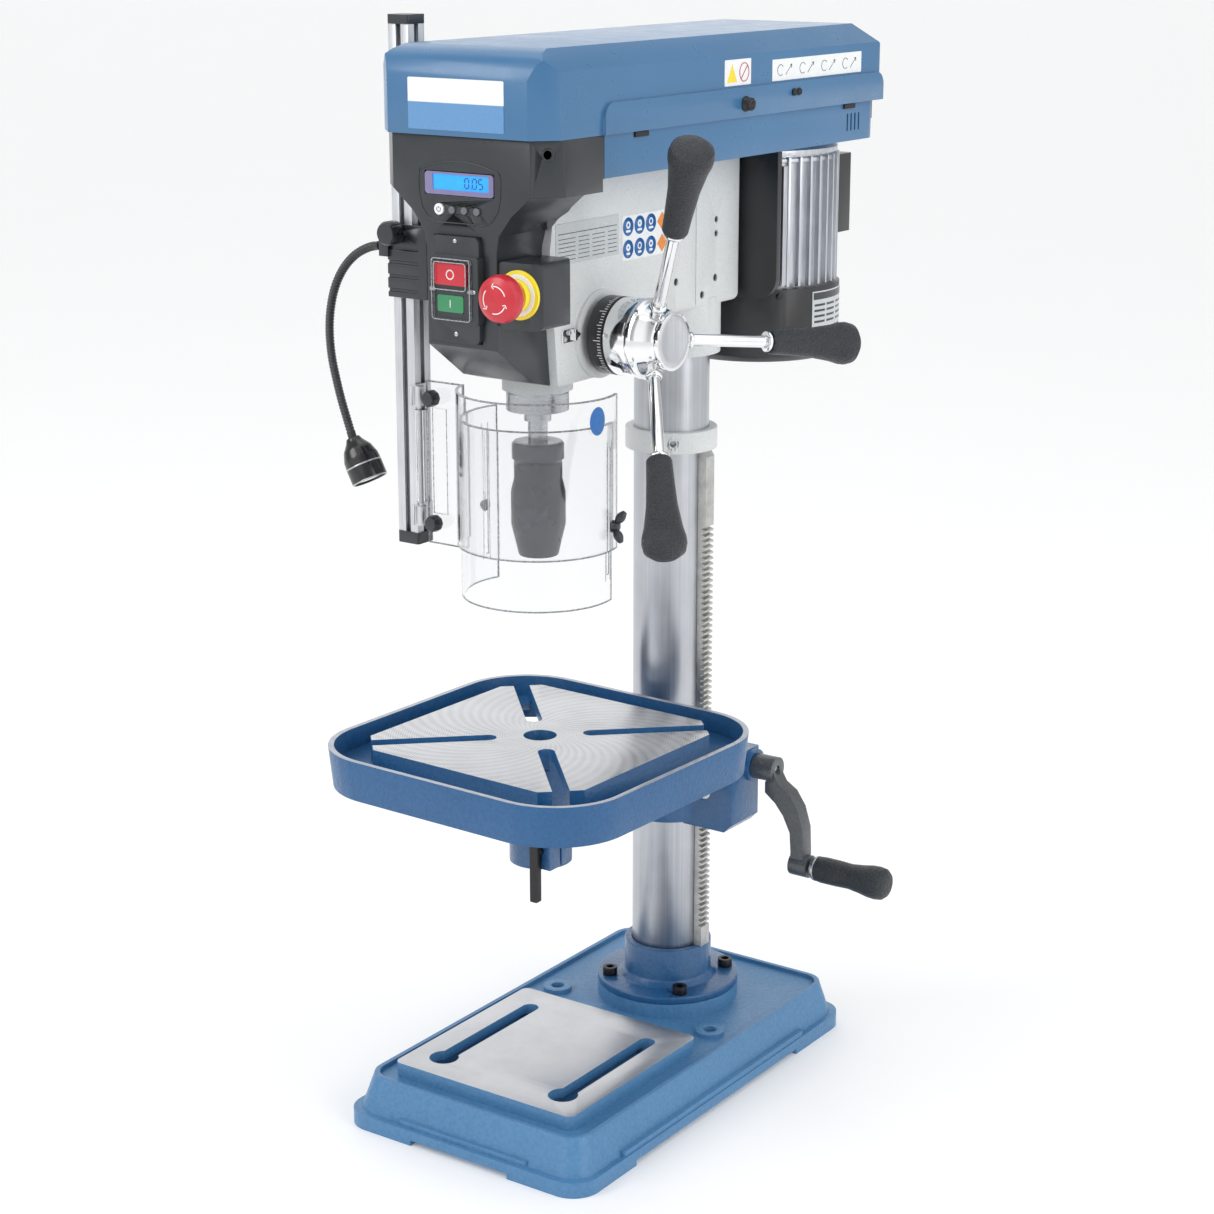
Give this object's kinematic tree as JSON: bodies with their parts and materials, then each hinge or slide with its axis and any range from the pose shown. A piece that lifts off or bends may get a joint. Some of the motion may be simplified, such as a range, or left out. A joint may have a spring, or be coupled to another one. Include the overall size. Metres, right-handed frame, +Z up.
{
  "type": "bench drill press",
  "caption": "Bench drill press with a column, a cranked lifting table, a sprung quill with handles, a belt drive under a lid, a swinging clear shield and a work lamp.",
  "frame": {"origin": "midpoint between the two bench bolt holes, on the plane of the bench", "axes": "+Z up along the column, -Y towards the operator, +X to the operator's right"},
  "size_m": [0.5176, 0.7057, 1.131],
  "materials": {
    "blue_cast": "satin",
    "blue_paint": "satin",
    "table_iron": "satin",
    "grey_cast": "matte",
    "column_steel": "satin",
    "bright_steel": "satin",
    "chrome": "gloss",
    "chuck_steel": "satin",
    "black_steel": "satin",
    "black_plastic": "matte",
    "black_rubber": "matte",
    "crank_iron": "satin",
    "pulley_aluminium": "satin",
    "post_aluminium": "satin",
    "clear_plastic": "gloss",
    "red_plastic": "gloss",
    "green_plastic": "gloss",
    "yellow_plastic": "gloss",
    "white_plastic": "gloss",
    "grey_plastic": "matte"
  },
  "bodies": {
    "frame": {"base": "blue_cast", "column_flange": "blue_cast", "flange_screws": "black_steel", "column": "column_steel", "column_ring": "grey_cast", "head_casting": "grey_cast", "control_housing": "black_plastic", "switch_plate": "black_plastic", "estop_box": "black_plastic", "estop_collar": "yellow_plastic", "belt_pan": "blue_paint", "lid_hinges": "bright_steel", "spring_housing": "black_plastic", "idler_post": "bright_steel", "belts": "black_rubber", "motor_plate": "black_steel", "motor_body": "grey_cast", "fan_cover": "black_plastic", "terminal_box": "black_plastic", "guard_bracket": "black_plastic"},
    "lid": {"belt_lid": "blue_paint"},
    "rack_body": {"rack": "column_steel"},
    "table_carriage": {"table_bracket": "blue_cast"},
    "lift_wheel": {"worm_wheel": "bright_steel"},
    "crank": {"worm_shaft": "bright_steel", "crank_arm": "crank_iron"},
    "crank_handle": {"crank_grip": "black_rubber"},
    "table_top": {"table": "table_iron"},
    "table_clamp": {"table_lever": "bright_steel"},
    "quill_body": {"quill": "bright_steel", "quill_bearings": "bright_steel"},
    "spindle_body": {"spindle": "bright_steel", "chuck_body": "chuck_steel"},
    "sleeve_body": {"chuck_sleeve": "chuck_steel"},
    "jaw_1": {"chuck_jaw_1": "chuck_steel"},
    "jaw_2": {"chuck_jaw_2": "chuck_steel"},
    "jaw_3": {"chuck_jaw_3": "chuck_steel"},
    "feed": {"feed_shaft": "bright_steel", "feed_hub": "chrome", "feed_rods": "chrome", "feed_grips": "black_rubber"},
    "scale_ring": {"depth_ring": "black_steel"},
    "spindle_drive": {"spindle_pulley": "pulley_aluminium"},
    "idler": {"idler_pulley": "pulley_aluminium"},
    "motor_drive": {"motor_rotor": "bright_steel", "motor_pulley": "pulley_aluminium"},
    "stop_key": {"red_button": "red_plastic"},
    "start_key": {"green_button": "green_plastic"},
    "power_key": {"power_button": "white_plastic"},
    "display_key_1": {"display_button_1": "grey_plastic"},
    "display_key_2": {"display_button_2": "grey_plastic"},
    "display_key_3": {"display_button_3": "grey_plastic"},
    "estop": {"estop_button": "red_plastic"},
    "guard_slide": {"guard_post": "post_aluminium", "guard_clips": "post_aluminium"},
    "shield": {"upper_guard": "clear_plastic"},
    "inner_shield": {"lower_guard": "clear_plastic"},
    "post_knob": {"bracket_knob": "black_plastic"},
    "lamp": {"lamp_arm": "black_rubber", "lamp_head": "black_plastic"}
  },
  "joints": [
    {"name": "lid_hinge", "type": "hinge", "parent": "frame", "child": "lid", "pos_m": [0, 0.327, 1.035], "axis": [-1, 0, 0], "range_deg": [0, 75]},
    {"name": "rack_swing", "type": "hinge", "parent": "frame", "child": "rack_body", "pos_m": [0, 0.071, 0.4], "axis": [0, 0, 1], "range_deg": [-90, 90]},
    {"name": "table_lift", "type": "slide", "parent": "rack_body", "child": "table_carriage", "axis": [0, 0, 1], "range_m": [-0.1, 0.06]},
    {"name": "lift_wheel_turn", "type": "hinge", "parent": "table_carriage", "child": "lift_wheel", "pos_m": [0.05975, 0.071, 0.3045], "axis": [0, 1, 0], "range_deg": [-286.98, 477.96]},
    {"name": "crank_turn", "type": "hinge", "parent": "table_carriage", "child": "crank", "pos_m": [0.1, 0.091, 0.331], "axis": [1, 0, 0], "range_deg": [-5252.61, 3151.77]},
    {"name": "crank_grip_spin", "type": "hinge", "parent": "crank", "child": "crank_handle", "pos_m": [0.2, 0.091, 0.229], "axis": [1, 0, 0], "continuous": true},
    {"name": "table_turn", "type": "hinge", "parent": "table_carriage", "child": "table_top", "pos_m": [0, -0.1684, 0.39], "axis": [0, 0, 1], "range_deg": [-20, 22]},
    {"name": "table_clamp_turn", "type": "hinge", "parent": "table_carriage", "child": "table_clamp", "pos_m": [0.03, -0.219, 0.312], "axis": [0, 1, 0], "range_deg": [-60, 100]},
    {"name": "quill_feed", "type": "slide", "parent": "frame", "child": "quill_body", "axis": [0, 0, 1], "range_m": [-0.08, 0], "stiffness_N_per_m": 500, "springref_m": 0.18},
    {"name": "feed_turn", "type": "hinge", "parent": "frame", "child": "feed", "pos_m": [0.1, -0.132, 0.8302], "axis": [1, 0, 0], "range_deg": [0, 407.94]},
    {"name": "scale_ring_turn", "type": "hinge", "parent": "frame", "child": "scale_ring", "pos_m": [0.068, -0.132, 0.8302], "axis": [1, 0, 0], "continuous": true},
    {"name": "motor_spin", "type": "hinge", "parent": "frame", "child": "motor_drive", "pos_m": [0, 0.239, 0.9], "axis": [0, 0, 1], "continuous": true},
    {"name": "idler_spin", "type": "hinge", "parent": "frame", "child": "idler", "pos_m": [0, 0.026, 1.06], "axis": [0, 0, 1], "continuous": true},
    {"name": "pulley_spin", "type": "hinge", "parent": "frame", "child": "spindle_drive", "pos_m": [0, -0.1684, 1.06], "axis": [0, 0, 1], "continuous": true},
    {"name": "spindle_spin", "type": "hinge", "parent": "quill_body", "child": "spindle_body", "pos_m": [0, -0.1684, 0.8], "axis": [0, 0, 1], "continuous": true},
    {"name": "chuck_tighten", "type": "hinge", "parent": "spindle_body", "child": "sleeve_body", "pos_m": [0, -0.1684, 0.65], "axis": [0, 0, 1], "range_deg": [0, 1440]},
    {"name": "jaw_1_slide", "type": "slide", "parent": "spindle_body", "child": "jaw_1", "axis": [0.2241, 0.1294, 0.9659], "range_m": [-0.0121, 0.0001]},
    {"name": "jaw_2_slide", "type": "slide", "parent": "spindle_body", "child": "jaw_2", "axis": [-0.2241, 0.1294, 0.9659], "range_m": [-0.0121, 0.0001]},
    {"name": "jaw_3_slide", "type": "slide", "parent": "spindle_body", "child": "jaw_3", "axis": [0, -0.2588, 0.9659], "range_m": [-0.0121, 0.0001]},
    {"name": "stop_key_press", "type": "slide", "parent": "frame", "child": "stop_key", "axis": [0, 1, 0], "range_m": [0, 0.002], "stiffness_N_per_m": 800},
    {"name": "start_key_press", "type": "slide", "parent": "frame", "child": "start_key", "axis": [0, 1, 0], "range_m": [0, 0.002], "stiffness_N_per_m": 800},
    {"name": "power_key_press", "type": "slide", "parent": "frame", "child": "power_key", "axis": [0, 1, 0], "range_m": [0, 0.001], "stiffness_N_per_m": 600},
    {"name": "display_key_1_press", "type": "slide", "parent": "frame", "child": "display_key_1", "axis": [0, 1, 0], "range_m": [0, 0.001], "stiffness_N_per_m": 600},
    {"name": "display_key_2_press", "type": "slide", "parent": "frame", "child": "display_key_2", "axis": [0, 1, 0], "range_m": [0, 0.001], "stiffness_N_per_m": 600},
    {"name": "display_key_3_press", "type": "slide", "parent": "frame", "child": "display_key_3", "axis": [0, 1, 0], "range_m": [0, 0.001], "stiffness_N_per_m": 600},
    {"name": "estop_push", "type": "slide", "parent": "frame", "child": "estop", "axis": [0, 1, 0], "range_m": [0, 0.005]},
    {"name": "guard_height", "type": "slide", "parent": "frame", "child": "guard_slide", "axis": [0, 0, 1], "range_m": [-0.025, 0]},
    {"name": "guard_swing", "type": "hinge", "parent": "guard_slide", "child": "shield", "pos_m": [-0.127, -0.196, 0.7], "axis": [0, 0, 1], "range_deg": [-90, 0]},
    {"name": "inner_shield_slide", "type": "slide", "parent": "shield", "child": "inner_shield", "axis": [0, 0, 1], "range_m": [-0.045, 0.025]},
    {"name": "post_knob_turn", "type": "hinge", "parent": "frame", "child": "post_knob", "pos_m": [-0.15, -0.209, 0.921], "axis": [0, 1, 0], "range_deg": [-180, 180]},
    {"name": "lamp_swing", "type": "hinge", "parent": "frame", "child": "lamp", "pos_m": [-0.172, -0.191, 0.905], "axis": [0, 0, 1], "range_deg": [-40, 40]}
  ],
  "couplings": [
    {"joint": "lift_wheel_turn", "follows": "table_lift", "rad_per_m": -83.333},
    {"joint": "crank_turn", "follows": "table_lift", "rad_per_m": 916.67},
    {"joint": "feed_turn", "follows": "quill_feed", "rad_per_m": -88.889},
    {"joint": "idler_spin", "follows": "motor_spin", "ratio": 0.73643},
    {"joint": "pulley_spin", "follows": "motor_spin", "ratio": 0.56019},
    {"joint": "spindle_spin", "follows": "motor_spin", "ratio": 0.56019},
    {"joint": "jaw_1_slide", "follows": "chuck_tighten", "m_per_rad": -0.00047746},
    {"joint": "jaw_2_slide", "follows": "chuck_tighten", "m_per_rad": -0.00047746},
    {"joint": "jaw_3_slide", "follows": "chuck_tighten", "m_per_rad": -0.00047746}
  ]
}
